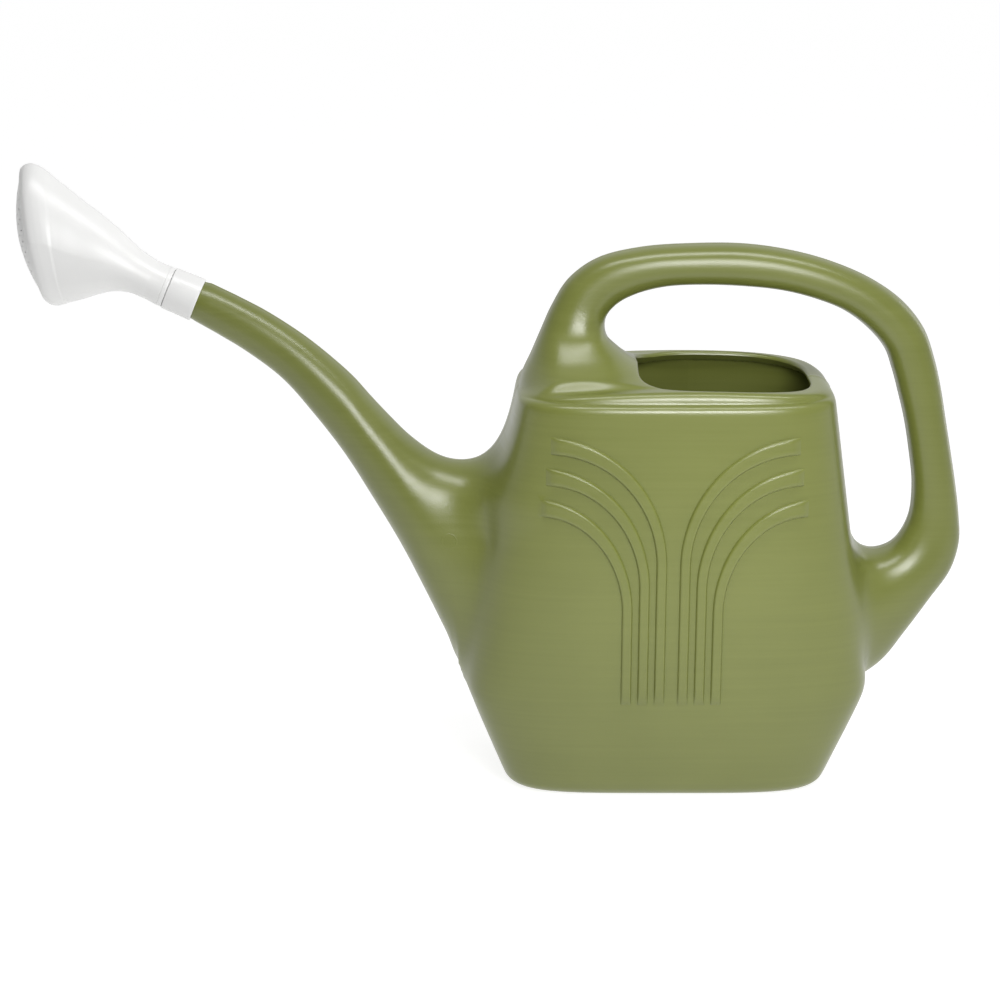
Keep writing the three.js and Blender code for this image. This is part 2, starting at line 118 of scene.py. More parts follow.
# outer edge (x, z), inner edge (x, z) and half depth of each section
HANDLE_STATIONS = [
    ((-105, 258), (-24, 270), 46),
    ((-102, 284), (-30, 289), 40),
    ((-95.2, 300.5), (-37, 301), 31),
    ((-88, 318), (-45, 314), 21.5),
    ((-80.8, 334.5), (-44.5, 326), 17.6),
    ((-70, 352), (-37, 335.5), 16.2),
    ((-51, 366), (-24, 342.5), 16),
    ((-22, 373.5), (-5, 347.4), 16),
    ((15, 376.2), (20, 348.8), 16),
    ((50, 375.8), (51, 347.6), 16),
    ((82, 371), (75, 344.8), 16),
    ((110, 363), (97.6, 339), 16),
    ((135, 351.8), (117.6, 330.7), 16),
    ((156.2, 336.8), (134, 318.5), 16),
    ((171.4, 318), (145.6, 305), 16),
    ((180, 296), (151.2, 291), 16),
    ((185.3, 276), (155.8, 276), 16),
    ((189.6, 255), (161.5, 255), 16),
    ((194.3, 232), (166, 232), 16),
    ((198.8, 209), (169.3, 209), 16.3),
    ((202.3, 187), (168.6, 187), 17),
    ((203.6, 168), (163.8, 173.5), 18.5),
    ((198.5, 147.5), (157, 164.3), 21),
    ((185, 126.5), (146.2, 158.2), 24),
    ((168.7, 102), (135, 156), 26.5),
    ((152, 79), (122, 156), 28),
    ((132, 66), (108, 158), 29),
    ((106, 62), (92, 161), 29),
]
HANDLE_POWER = 2.4
HANDLE_GRID = (56, 260)

TIP_CENTRE = np.array([-320, 0, 337.6])
TIP_RISE = math.radians(23.5)
TIP_AXIS = np.array([-math.cos(TIP_RISE), 0, math.sin(TIP_RISE)])
TIP_UP = np.array([math.sin(TIP_RISE), 0, math.cos(TIP_RISE)])
TIP_RADIUS = 14
SPIGOT_RADIUS = 12.5
SPIGOT_LENGTH = 10
BORE_RADIUS = 10.8

# width of the fillets where the lofts meet
ROOT_FILLET = 50
FOOT_FILLET = 46
SPOUT_FILLET = 30
CROTCH_FILLET = 70
JOINT_REACH = 50  # how near the handle or spout a point has to be for a fillet to move it
RIM_REACH = 62  # and how near the handle a point of the rim or of the cap's underside
CAP_ZONE_DEPTH = 14  # under the cap's top, down to where such points are looked for
UNDERSIDE_REACH = 25  # and how far outside the mouth's outline
LOW_SPOUT = (110, 150)  # heights between which the thinning of the spout's low fillet ends
RELAX_ROUNDS = 10
LARGEST_STEP = 3
SEAM_RIDGE = 0.3
THICKEST = 72  # no point of a loft is deeper inside than this

COLLAR_LENGTH = 21.2
GAP = 0.3

# upper edge (x, z), lower edge (x, z) and half depth of the rose's bell, neck to rim
ROSE_STATIONS = [
    ((-346, 364.2), (-356, 339), 14.2),
    ((-357.5, 372.5), (-366.5, 343), 15.8),
    ((-369.5, 384.3), (-376.5, 343.8), 18.4),
    ((-382.5, 396), (-386.5, 341.8), 21.5),
    ((-396, 406.6), (-397, 338.6), 24.6),
    ((-409, 417.5), (-406, 336.3), 27.4),
    ((-422.5, 428), (-411.5, 335), 29.6),
    ((-427.5, 429.7), (-415.5, 334.4), 30.3),
    ((-431.5, 429.2), (-419, 335.2), 30.3),
    ((-434.4, 427), (-422, 337.4), 29),
]
ROSE_POWER = 1.85
ROSE_SIDES = 144
ROSE_WALL = 1.6
ROSE_CREASE = 0.09
RIM_BAND = 0.4  # the band round the mouth stands out this far
RIM_BAND_FROM = 5.45  # in stations
PLATE_LEDGE = 2.6
PLATE_FLOOR = 4.6
PLATE_THICKNESS = 1.8
PLATE_BULGE = 10
PLATE_SKIRT = 2.6
HOLE_RADIUS = 0.75
# holes in each ring, and the ring's share of the way out
HOLE_RINGS = [(1, 0), (6, 0.17), (12, 0.34), (18, 0.51), (24, 0.68), (30, 0.84)]

# foot and outer end of one rib, and the height where it starts to bend
RIB_FAN = [
    {"foot_x": 7.9, "end_x": 82.4, "end_z": 253.6, "bend_z": 171},
    {"foot_x": 19.2, "end_x": 85.4, "end_z": 232.3, "bend_z": 155},
    {"foot_x": 30.5, "end_x": 89.2, "end_z": 210.7, "bend_z": 138},
]
RIB_HEIGHT = 2.2
RIB_NARROW = 2.9  # half width on the straight part, and at the outer end
RIB_WIDE = 5.3
RIB_BOTTOM_Z = 72
RIB_ENDS = (0, 0.6, 0.92)  # height of the first and last sections, as a share of the rib's
# Across a rib: side and spread in millimetres, which stand at side x half width + spread, and the
# share of the rib's height. The two of -1 are the rib's root, 1 mm inside the tank's skin.
RIB_PROFILE = [(-1, -0.9, -1), (-1, -0.7, 0.08), (-1, 0.1, 0.85), (-1, 0.7, 1), (-0.4, 0, 0.93)]
RIB_PROFILE += [(0.4, 0, 0.93), (1, -0.7, 1), (1, -0.1, 0.85), (1, 0.7, 0.08), (1, 0.9, -1)]

# degrees; edges sharper than this stay sharp in the shading
CAN_SHARP = 38
ROSE_SHARP = 32

# centre in metres and radius of the round marks that mould inserts leave
LOW_MARK = ((-0.1072, -0.0665, 0.0863), 0.0028)
SIDE_MARK = ((-0.1507, -0.0360, 0.1773), 0.0055)

CAN_DARK = (0.120, 0.136, 0.028)
CAN_PALE = (0.139, 0.156, 0.035)
ROSE_DARK = (0.65, 0.65, 0.64)
ROSE_PALE = (0.69, 0.69, 0.685)

FLOOR_REACH = 25  # metres
FLOOR_GREY = 0.35
FLOOR_GLOW = 0.85  # painted glow of the floor under and behind the can, and near the camera
FRONT_GLOW = 0.2
# brightness of the world in each direction
WORLD_FRONT = 0.04
WORLD_BEHIND = 0.78
WORLD_ABOVE = 0.2
WORLD_RIGHT = 0.4
WORLD_LEFT = 0.1
# name, place, target, size and power, in metres and watts
LIGHTS = [
    ("front_box", (0.1, -0.62, 0.52), (0.03, 0, 0.15), (0.3, 0.3), 3.7),
    ("top_strip", (0.05, -0.3, 1.25), (0, 0, 0.25), (1.0, 0.22), 7.4),
    ("right_strip", (0.75, 0.5, 0.3), (0.1, 0, 0.2), (0.12, 0.8), 0.6),
]
POOL_PLACE = (0.15, -1.3, 0.6)
POOL_TARGET = (0.03, -0.07, 0.16)
POOL_POWER = 30
POOL_ANGLE = math.radians(15)
POOL_SOFTNESS = 0.12

CAMERA_PLACE = (-0.116, -1.530, 0.664)
CAMERA_TILT = math.radians(73)
CAMERA_LENS = 82.98


# ------------------------------------------------------------------ mesh helpers


def smoothstep(value, low, high):
    share = np.clip((value - low) / (high - low), 0, 1)
    return share * share * (3 - 2 * share)


def loft(rings):
    """Vertices and faces through a row of rings. A ring of one point is a pole."""
    rows = []
    total = 0
    for ring in rings:
        rows.append(np.arange(total, total + len(ring)))
        total += len(ring)
    faces = []
    for a, b in zip(rows, rows[1:]):
        if len(a) == 1:
            faces += [(a[0], b[i], b[(i + 1) % len(b)]) for i in range(len(b))]
        elif len(b) == 1:
            faces += [(a[(i + 1) % len(a)], a[i], b[0]) for i in range(len(a))]
        else:
            n = len(a)
            faces += [(a[(i + 1) % n], a[i], b[i], b[(i + 1) % n]) for i in range(n)]
    return np.vstack(rings), faces


def closed(rings):
    """The rings with a pole added at each open end."""
    return [rings[0].mean(0, keepdims=True), *rings, rings[-1].mean(0, keepdims=True)]


def make_object(name, vertices, faces):
    """A mesh object from millimetre vertices, its faces turned to point out."""
    mesh = bpy.data.meshes.new(name)
    mesh.from_pydata((np.asarray(vertices) * MM).tolist(), [], [list(map(int, f)) for f in faces])
    bm = bmesh.new()
    bm.from_mesh(mesh)
    bmesh.ops.recalc_face_normals(bm, faces=bm.faces)
    if bm.calc_volume(signed=True) < 0:
        bmesh.ops.reverse_faces(bm, faces=bm.faces)
    bm.to_mesh(mesh)
    bm.free()
    piece = bpy.data.objects.new(name, mesh)
    bpy.context.scene.collection.objects.link(piece)
    return piece


def combine(piece, tool, operation):
    """Joins the tool to the piece, or cuts it out, and removes the tool."""
    modifier = piece.modifiers.new("combine", "BOOLEAN")
    modifier.object = tool
    modifier.operation = operation
    modifier.solver = "MANIFOLD"
    graph = bpy.context.evaluated_depsgraph_get()
    mesh = bpy.data.meshes.new_from_object(piece.evaluated_get(graph))
    piece.modifiers.clear()
    piece.data = mesh
    bpy.data.objects.remove(tool)


def get_points(piece):
    """The piece's vertices in millimetres."""
    flat = np.empty(3 * len(piece.data.vertices), np.float32)
    piece.data.vertices.foreach_get("co", flat)
    return flat.reshape(-1, 3).astype(float) / MM


def set_points(piece, points):
    piece.data.vertices.foreach_set("co", (points * MM).astype(np.float32).ravel())
    piece.data.update()


def smooth_shade(piece, sharp):
    """Smooth shading, except along edges sharper than the angle, in degrees."""
    for polygon in piece.data.polygons:
        polygon.use_smooth = True
    piece.data.set_sharp_from_angle(angle=math.radians(sharp))


# ------------------------------------------------------------------ curves and sections


def catmull(points, count):
    """A centripetal Catmull-Rom curve, sampled evenly in its knots."""
    points = np.asarray(points, float)
    first = 2 * points[0] - points[1]
    last = 2 * points[-1] - points[-2]
    knots = np.vstack([first, points, last])
    out = []
    for where in np.linspace(0, len(points) - 1, count):
        i = min(int(where), len(points) - 2)
        w = where - i
        p0, p1, p2, p3 = knots[i : i + 4]
        d0, d1, d2 = (np.linalg.norm(b - a) ** 0.5 for a, b in ((p0, p1), (p1, p2), (p2, p3)))
        t1 = ((p1 - p0) / d0 - (p2 - p0) / (d0 + d1) + (p2 - p1) / d1) * d1
        t2 = ((p2 - p1) / d1 - (p3 - p1) / (d1 + d2) + (p3 - p2) / d2) * d1
        c2 = -3 * p1 + 3 * p2 - 2 * t1 - t2
        c3 = 2 * p1 - 2 * p2 + t1 + t2
        out.append(p1 + t1 * w + c2 * w**2 + c3 * w**3)
    return np.array(out)


def superellipse(half_a, half_b, power, sides):
    """Points at even polar angles, starting on the first axis."""
    angle = 2 * np.pi * np.arange(sides) / sides
    cosine, sine = np.cos(angle), np.sin(angle)
    reach = (np.abs(cosine / half_a) ** power + np.abs(sine / half_b) ** power) ** (-1 / power)
    return reach * cosine, reach * sine


def edge_section(upper, lower, depth, power, sides, shrink=0):
    """A rounded section between an upper and a lower edge point of the plane y = 0."""
    centre = (upper + lower) / 2
    half_span = np.linalg.norm(upper - lower) / 2
    up = (upper - lower) / (2 * half_span)
    u, v = superellipse(half_span - shrink, depth - shrink, power, sides)
    return centre + np.outer(u, up) + np.outer(v, (0, 1, 0))


def station_sections(stations, power, sides, count, shrink=0):
    high = catmull([(s[0][0], s[2], s[0][1]) for s in stations], count)
    low = catmull([(s[1][0], 0, s[1][1]) for s in stations], count)
    depths = high[:, 1].copy()
    high[:, 1] = 0
    edges = zip(high, low, depths)
    return [edge_section(upper, lower, depth, power, sides, shrink) for upper, lower, depth in edges]


def tip_section(along, radius, sides):
    centre = TIP_CENTRE + TIP_AXIS * along
    return edge_section(centre + TIP_UP * radius, centre - TIP_UP * radius, radius, 2, sides)


# ------------------------------------------------------------------ tank


def soft_min(a, b, softness):
    return (a + b - np.hypot(a - b, softness)) / 2


def base_inset(z, flare):
    """How far the floor edge's fillet stands in from the sloping side at height z."""
    sweep = math.pi / 2 - math.atan(flare)
    if z >= BASE_RADIUS * (1 - math.cos(sweep)):
        return 0
    arc = math.sqrt(BASE_RADIUS**2 - (BASE_RADIUS - z) ** 2)
    return flare * z + BASE_RADIUS * math.tan(sweep / 2) - arc


def half_length(z):
    """Half the tank's length at height z: it widens to the low shoulder, then tapers."""
    upper = SHOULDER_HALF_LENGTH + END_TAPER * (SHOULDER_Z - z)
    lower = BASE_HALF_LENGTH + END_FLARE * z
    return soft_min(lower, upper, END_SOFTNESS) - base_inset(z, END_FLARE)


def half_depth(z):
    lower = BASE_HALF_DEPTH + FACE_FLARE * z
    return soft_min(lower, SHOULDER_HALF_DEPTH, FACE_SOFTNESS) - base_inset(z, FACE_FLARE)


def centre_x(z):
    return BASE_CENTRE_X + (SHOULDER_CENTRE_X - BASE_CENTRE_X) * z / SHOULDER_Z


def cap_top(x):
    return CAP_CREST_Z - CAP_CURVE * (x - CAP_CREST_X) ** 2


def side_ring(z, inset=0):
    x, y = superellipse(half_length(z) - inset, half_depth(z) - inset, PLAN_POWER, TANK_SIDES)
    return np.column_stack([x + centre_x(z), y, np.full(TANK_SIDES, z)])


def shoulder_outline(inset):
    half_a, half_b = SHOULDER_HALF_LENGTH - inset, SHOULDER_HALF_DEPTH - inset
    x, y = superellipse(half_a, half_b, PLAN_POWER, TANK_SIDES)
    return x + SHOULDER_CENTRE_X, y


def top_rings():
    """The shoulder, the groove and the cap's edge, which round over in one sweep at the ends."""
    angles = [math.radians(degrees) for degrees in SHOULDER_ARC]
    rows = [(SHOULDER_INSET * (1 - math.cos(angle)), angle, None) for angle in angles]
    rows += [(inset, None, share) for inset, share in CAP_ROWS]
    end_start_z = SHOULDER_Z - END_SWEEP_BELOW
    rings = []
    for k, (inset, arc, share) in enumerate(rows):
        sweep = math.pi / 2 * (k + 1) / len(rows)
        x, y = shoulder_outline(inset)
        if arc is not None:
            z = np.full(TANK_SIDES, SHOULDER_Z + (GROOVE_Z - SHOULDER_Z) * math.sin(arc))
        else:
            z = GROOVE_Z + share * (cap_top(x) - GROOVE_Z)
        end_x, end_y = shoulder_outline(CAP_INSET * (1 - math.cos(sweep)))
        end_z = end_start_z + (cap_top(end_x) - end_start_z) * math.sin(sweep)
        end = 1 - smoothstep(np.abs(y) / SHOULDER_HALF_DEPTH, *END_BLEND)
        ring = np.column_stack([x, y, z]) * (1 - end)[:, None]
        rings.append(ring + np.column_stack([end_x, end_y, end_z]) * end[:, None])
    return rings


def mouth_ring(outset, drop=0.0):
    a, b = MOUTH_HALF_LENGTH + outset, MOUTH_HALF_DEPTH + outset
    x, y = superellipse(a, b, MOUTH_POWER, TANK_SIDES)
    x = x + MOUTH_CENTRE_X
    return np.column_stack([x, y, cap_top(x) - drop])


def mouth_outset(points):
    """How far a point stands outside the mouth's outline, about."""
    x, y = points[:, 0] - MOUTH_CENTRE_X, points[:, 1]
    share_x, share_y = np.abs(x / MOUTH_HALF_LENGTH), np.abs(y / MOUTH_HALF_DEPTH)
    size = (share_x**MOUTH_POWER + share_y**MOUTH_POWER) ** (1 / MOUTH_POWER)
    return np.hypot(x, y) * (1 - 1 / np.maximum(size, 1e-6))


def outer_rings():
    """The tank's skin from the floor's middle to the edge of the mouth."""
    base_rows = [(55, RECESS_Z), (38, RECESS_Z), (22, RECESS_Z), (17, 2), (14, 0.5), (12, 0), (6, 0)]
    base = [side_ring(0, inset) * (1, 1, 0) + (0, 0, z) for inset, z in base_rows]
    sweep = math.pi / 2 - math.atan(END_FLARE)
    heights = [BASE_RADIUS * (1 - math.cos(sweep * k / 9)) for k in range(10)]
    heights += list(np.linspace(13, 54, 10))
    heights += list(np.linspace(57, 72, 9))
    heights += list(np.linspace(76, SHOULDER_Z - 4, 46))
    heights += [SHOULDER_Z - END_SWEEP_BELOW]
    rings = [np.array([[0, 0, RECESS_Z]]), *base]
    rings += [side_ring(z) for z in heights]
    rings += top_rings()
    start, end = rings[-1], mouth_ring(RIM_RADIUS)
    for share in np.linspace(0, 1, 24)[1:]:
        ring = start * (1 - share) + end * share
        ring[:, 2] = cap_top(ring[:, 0])
        rings.append(ring)
    return rings


def lip_rings():
    """The rim's round edge, the lip turned down inside the mouth, and its slightly rough cut edge."""
    rings = []
    for turn in (18, 36, 54, 72, 90):
        angle = math.radians(turn)
        outset, drop = RIM_RADIUS * (1 - math.sin(angle)), RIM_RADIUS * (1 - math.cos(angle))
        rings.append(mouth_ring(outset, drop))
    rough = rng.normal(0, LIP_ROUGHNESS, TANK_SIDES)
    rings += [mouth_ring(LIP_SLANT * 0.35, 4), mouth_ring(LIP_SLANT * 0.8, LIP_DEPTH - 1.2)]
    for outset, drop in ((0.15, 0.3), (0.7, 0), (1.6, 0), (LIP_THICKNESS, 0.5)):
        rings.append(mouth_ring(LIP_SLANT + outset, LIP_DEPTH - drop + rough))
    rings.append(mouth_ring(LIP_THICKNESS + LIP_SLANT / 2, RIM_RADIUS + WALL + 0.2))
    rings.append(mouth_ring(LIP_THICKNESS + RIM_RADIUS, WALL))
    return rings


def inner_rings(extra=0.0):
    """The tank's inside, from under the cap to the floor, set in from the wall by extra."""
    heights = [270, 250, 215, 180, 140, 105, 82, 70, 64, 56, 40, 20, 10, 5.5]
    under = mouth_ring(0)
    edge = side_ring(SHOULDER_Z, CAP_INSET + extra)
    rings = []
    for share in (0.5, 1.0):
        ring = under * (1 - share) + edge * share
        ring[:, 2] = cap_top(ring[:, 0]) - WALL - 0.4 - extra
        rings.append(ring)
    rings.append(side_ring(SHOULDER_Z + 1.5 - extra, SHOULDER_INSET + extra))
    rings += [side_ring(z, WALL + extra) for z in heights]
    rings.append(side_ring(FLOOR_Z + extra, BASE_RADIUS + extra))
    return rings


def tank_shell():
    rings = outer_rings() + lip_rings() + inner_rings() + [np.array([[0, 0, FLOOR_Z]])]
    return make_object("can", *loft(rings))


def tank_inside():
    rings = inner_rings(0.5)
    return make_object("inside", *loft(closed(rings)))


def tank_closed():
    """The tank's outside with a closed top, as a skin to measure distances from."""
    rings = outer_rings()
    end = mouth_ring(0)
    for share in (0.15, 0.4, 0.7):
        ring = end * (1 - share) + np.array([[MOUTH_CENTRE_X, 0, 0]]) * share
        ring[:, 2] = cap_top(ring[:, 0])
        rings.append(ring)
    rings.append(np.array([[MOUTH_CENTRE_X, 0, cap_top(MOUTH_CENTRE_X)]]))
    return loft(rings)


# ------------------------------------------------------------------ soft fillets


def angle_between(one, two):
    size = np.linalg.norm(one, axis=1) * np.linalg.norm(two, axis=1)
    return np.arccos(np.clip(np.einsum("ij,ij->i", one, two) / np.maximum(size, 1e-12), -1, 1))


class Skin:
    """A closed skin that gives signed distances and smooth normals."""

    def __init__(self, vertices, faces):
        self.vertices = np.asarray(vertices, float)
        triangles = []
        for face in faces:
            triangles += [(face[0], face[i], face[i + 1]) for i in range(1, len(face) - 1)]
        self.triangles = np.array(triangles, int)
        a, b, c = (self.vertices[self.triangles[:, i]] for i in range(3))
        cross = np.cross(b - a, c - a)
        if np.einsum("ij,ij->", a, cross) < 0:
            self.triangles = self.triangles[:, ::-1].copy()
            cross = -cross
        faces = cross / np.maximum(np.linalg.norm(cross, axis=1, keepdims=True), 1e-12)
        normals = np.zeros_like(self.vertices)
        for i in range(3):
            here, one, two = (self.vertices[self.triangles[:, (i + k) % 3]] for k in range(3))
            angle = angle_between(one - here, two - here)
            np.add.at(normals, self.triangles[:, i], faces * angle[:, None])
        self.normals = normals / np.maximum(np.linalg.norm(normals, axis=1, keepdims=True), 1e-12)
        self.tree = BVHTree.FromPolygons(self.vertices.tolist(), self.triangles.tolist())

    def measure(self, points):
        spots = np.empty((len(points), 3))
        index = np.empty(len(points), int)
        for i, point in enumerate(points):
            spot, _, triangle, _ = self.tree.find_nearest(point)
            spots[i] = spot
            index[i] = triangle
        corners = self.triangles[index]
        a, b, c = (self.vertices[corners[:, i]] for i in range(3))
        whole = np.cross(b - a, c - a)
        area = np.maximum(np.einsum("ij,ij->i", whole, whole), 1e-12)
        share_b = np.einsum("ij,ij->i", np.cross(spots - a, c - a), whole) / area
        share_c = np.einsum("ij,ij->i", np.cross(b - a, spots - a), whole) / area
        shares = np.clip(np.column_stack([1 - share_b - share_c, share_b, share_c]), 0, 1)
        normals = np.einsum("ij,ijk->ik", shares, self.normals[corners])
        normals /= np.maximum(np.linalg.norm(normals, axis=1, keepdims=True), 1e-12)
        offset = points - spots
        length = np.linalg.norm(offset, axis=1)
        inside = (np.einsum("ij,ij->i", offset, normals) < 0) & (length < THICKEST)
        side = np.where(inside, -1.0, 1.0)
        straight = offset * (side / np.maximum(length, 1e-9))[:, None]
        far = smoothstep(length, 0.3, 1.5)[:, None]
        gradient = normals * (1 - far) + straight * far
        gradient /= np.maximum(np.linalg.norm(gradient, axis=1, keepdims=True), 1e-12)
        return side * length, gradient


def soft_union(one, other, width, fading=0):
    """Joins two (distance, gradient) fields with a fillet of the given width.

    Fading, from 0 to 1, is how much of the fillet goes where the two fields run alike.
    """
    (a, grad_a), (b, grad_b) = one, other
    apart = smoothstep(1 - np.einsum("ij,ij->i", grad_a, grad_b), 0.02, 0.55)
    width = width * (1 - fading * (1 - apart)) + 1e-6
    share = np.clip((width - np.abs(a - b)) / width, 0, 1)
    weight = np.where(a < b, 1 - share**2 / 2, share**2 / 2)[:, None]
    return np.minimum(a, b) - share**3 * width / 6, grad_a * weight + grad_b * (1 - weight)


def handle_fillet(points):
    """Width of the handle's fillets: at its root, short of the cap's groove, and at its foot."""
    x, y, z = points.T
    root = smoothstep(z, 262, 284) * smoothstep(-x, -50, 0) * smoothstep(x, -106, -78)
    root = root * (1 - smoothstep(np.abs(y), 47, 61))
    foot = smoothstep(z, 62, 125) * (1 - smoothstep(z, 200, 240)) * smoothstep(x, 60, 100)
    return ROOT_FILLET * root + FOOT_FILLET * foot


def spout_fillet(points):
    """Width of the spout's fillet: wide in the crotch on top, narrow along its sides."""
    x, _, z = points.T
    width = SPOUT_FILLET + (CROTCH_FILLET - SPOUT_FILLET) * smoothstep(z, 175, 215)
    return width * smoothstep(-x, 60, 95)


def settle(points, skins, rounds=5):
    """Moves points onto the soft union of the tank, the handle and the spout."""
    points = points.copy()
    for _ in range(rounds):
        tank, handle, spout = (skin.measure(points) for skin in skins)
        joined = soft_union(tank, handle, handle_fillet(points))
        fading = 1 - smoothstep(points[:, 2], *LOW_SPOUT)
        distance, gradient = soft_union(joined, spout, spout_fillet(points), fading)
        steepness = np.maximum(np.einsum("ij,ij->i", gradient, gradient), 0.3)
        step = np.clip(distance / steepness, -LARGEST_STEP, LARGEST_STEP)
        points -= step[:, None] * gradient
    return points


def fill_joints(piece, skins):
    """Moves the vertices on and near the handle and spout onto the soft union.

    Gives back which they are. The mouth's rim and the cap's underside move as far as the cap's
    top above them.
    """
    points = get_points(piece)
    tank, handle, spout = (skin.measure(points)[0] for skin in skins)
    top = cap_top(points[:, 0])
    outset = mouth_outset(points)
    near = np.minimum(handle, spout) < JOINT_REACH
    below = top - points[:, 2]
    high = (below < CAP_ZONE_DEPTH) & (below > -0.5) & (handle < RIM_REACH)
    rim = high & (outset < RIM_RADIUS + 0.05)
    under = high & ~rim & (tank < -1) & (outset < UNDERSIDE_REACH)
    outer = near & ~rim & ~under & (np.minimum(np.minimum(tank, handle), spout) > -0.3)
    points[outer] = settle(points[outer], skins)
    for group, eased in ((rim, False), (under, True)):
        lifted = points[group].copy()
        lifted[:, 2] = cap_top(lifted[:, 0])
        move = settle(lifted, skins) - lifted
        if eased:
            move *= (1 - smoothstep(outset[group], 4, 16))[:, None]
        points[group] += move
    set_points(piece, points)
    return outer


def relax(piece, zone, skins):
    """Evens out the mesh in a zone by sliding its vertices along the skin.

    This also softens the spigot's foot and edges, which the sleeve covers.
    """
    bm = bmesh.new()
    bm.from_mesh(piece.data)
    bm.verts.ensure_lookup_table()
    free = [bm.verts[i] for i in np.flatnonzero(zone)]
    for _ in range(RELAX_ROUNDS):
        bmesh.ops.smooth_vert(
            bm, verts=free, factor=0.5, use_axis_x=True, use_axis_y=True, use_axis_z=True
        )
    bm.to_mesh(piece.data)
    bm.free()
    points = get_points(piece)
    points[zone] = settle(points[zone], skins, 3)
    set_points(piece, points)


def raise_seam(piece):
    """Lifts the mould's parting line, where the middle of the ends, handle and spout is."""
    points = get_points(piece)
    normals = np.empty(3 * len(points), np.float32)
    piece.data.vertices.foreach_get("normal", normals)
    middle = (np.abs(points[:, 1]) < 0.2) & (points[:, 2] > 3)
    points[middle] += SEAM_RIDGE * normals.reshape(-1, 3)[middle]
    set_points(piece, points)


# ------------------------------------------------------------------ the can


def spout_rings(sides, count, shrink=0.0):
    """Sections of the spout and its spigot or, with a shrink, of the bore through them."""
    rings = station_sections(SPOUT_STATIONS, SPOUT_POWER, sides, count, shrink)
    if shrink:
        return rings + [tip_section(along, BORE_RADIUS, sides) for along in (0, SPIGOT_LENGTH + 5)]
    rings += [tip_section(-4, TIP_RADIUS + 0.02, sides), tip_section(-0.6, TIP_RADIUS, sides)]
    rings += [tip_section(0, TIP_RADIUS - 0.6, sides), tip_section(0, SPIGOT_RADIUS, sides)]
    rings += [tip_section(SPIGOT_LENGTH - 0.5, SPIGOT_RADIUS, sides)]
    rings += [tip_section(SPIGOT_LENGTH, SPIGOT_RADIUS - 0.5, sides)]
    return rings


def handle_rings(sides, count, shrink=0.0):
    """Sections of the handle from its root on the cap to its foot on the tank's end."""
    return station_sections(HANDLE_STATIONS, HANDLE_POWER, sides, count, shrink)


def face_depth(x, z):
    """Half depth of the tank's face at a place on it."""
    share = np.clip(np.abs((x - centre_x(z)) / half_length(z)), 0, 1)
    return half_depth(z) * (1 - share**PLAN_POWER) ** (1 / PLAN_POWER)


def rib_line(rib):
    """Middle, direction across and half width along one rib, from its foot to its outer end."""
    reach_x = rib["end_x"] - rib["foot_x"]
    reach_z = rib["end_z"] - rib["bend_z"]
    straight = np.linspace(RIB_BOTTOM_Z, rib["bend_z"], 30)
    line = [(rib["foot_x"], z, 1.0, 0.0, RIB_NARROW) for z in straight]
    for share in np.linspace(0, 1, 49)[1:]:
        angle = share * math.pi / 2
        along = np.array([reach_x * math.sin(angle), reach_z * math.cos(angle)])
        along /= np.linalg.norm(along)
        half = RIB_NARROW + (RIB_WIDE - RIB_NARROW) * share**1.5
        x = rib["foot_x"] + reach_x * (1 - math.cos(angle))
        z = rib["bend_z"] + reach_z * math.sin(angle)
        line.append((x, z, along[1], -along[0], half))
    return line


def build_rib(shape, mirror_x, mirror_y):
    """One rib of the fan. Its line lies on the tank's face, mirrored where asked."""
    line = rib_line(shape)
    rings = []
    for step, (x, z, across_x, across_z, half) in enumerate(line):
        from_end = min(step, len(line) - 1 - step)
        rise = RIB_HEIGHT * (RIB_ENDS[from_end] if from_end < len(RIB_ENDS) else 1)
        ring = []
        for side, spread, height in RIB_PROFILE:
            offset = side * half + spread
            px = mirror_x * (x + across_x * offset)
            pz = z + across_z * offset
            lift = height * rise if height > 0 else -1
            ring.append((px, mirror_y * (face_depth(px, pz) + lift), pz))
        rings.append(np.array(ring))
    return make_object("rib", *loft(closed(rings)))


def build_can():
    """The blow-moulding: tank, handle and spout joined, hollowed, filleted and ribbed."""
    can = tank_shell()
    handle_skin = loft(closed(handle_rings(*HANDLE_GRID)))
    spout_skin = loft(closed(spout_rings(*SPOUT_GRID)))
    handle = make_object("handle_blank", *handle_skin)
    spout = make_object("spout_blank", *spout_skin)
    combine(handle, tank_inside(), "DIFFERENCE")
    combine(spout, tank_inside(), "DIFFERENCE")
    combine(can, handle, "UNION")
    combine(can, spout, "UNION")
    combine(can, make_object("bore", *loft(closed(handle_rings(24, 80, WALL)))), "DIFFERENCE")
    combine(can, make_object("bore", *loft(closed(spout_rings(40, 40, WALL)))), "DIFFERENCE")
    skins = [Skin(*tank_closed()), Skin(*handle_skin), Skin(*spout_skin)]
    zone = fill_joints(can, skins)
    relax(can, zone, skins)
    raise_seam(can)
    for shape in RIB_FAN:
        for mirror_x in (-1, 1):
            for mirror_y in (-1, 1):
                combine(can, build_rib(shape, mirror_x, mirror_y), "UNION")
    smooth_shade(can, CAN_SHARP)
    return can


# ------------------------------------------------------------------ rose


def turned(name, profile):
    """A ring-shaped body turned about the spout's end axis from (radius, distance) points."""
    rings = [tip_section(along, radius, ROSE_SIDES) for radius, along in profile]
    vertices, faces = loft(rings)
    last = (len(rings) - 1) * ROSE_SIDES
    for i in range(ROSE_SIDES):
        after = (i + 1) % ROSE_SIDES
        faces.append((last + after, last + i, i, after))
    return make_object(name, vertices, faces)


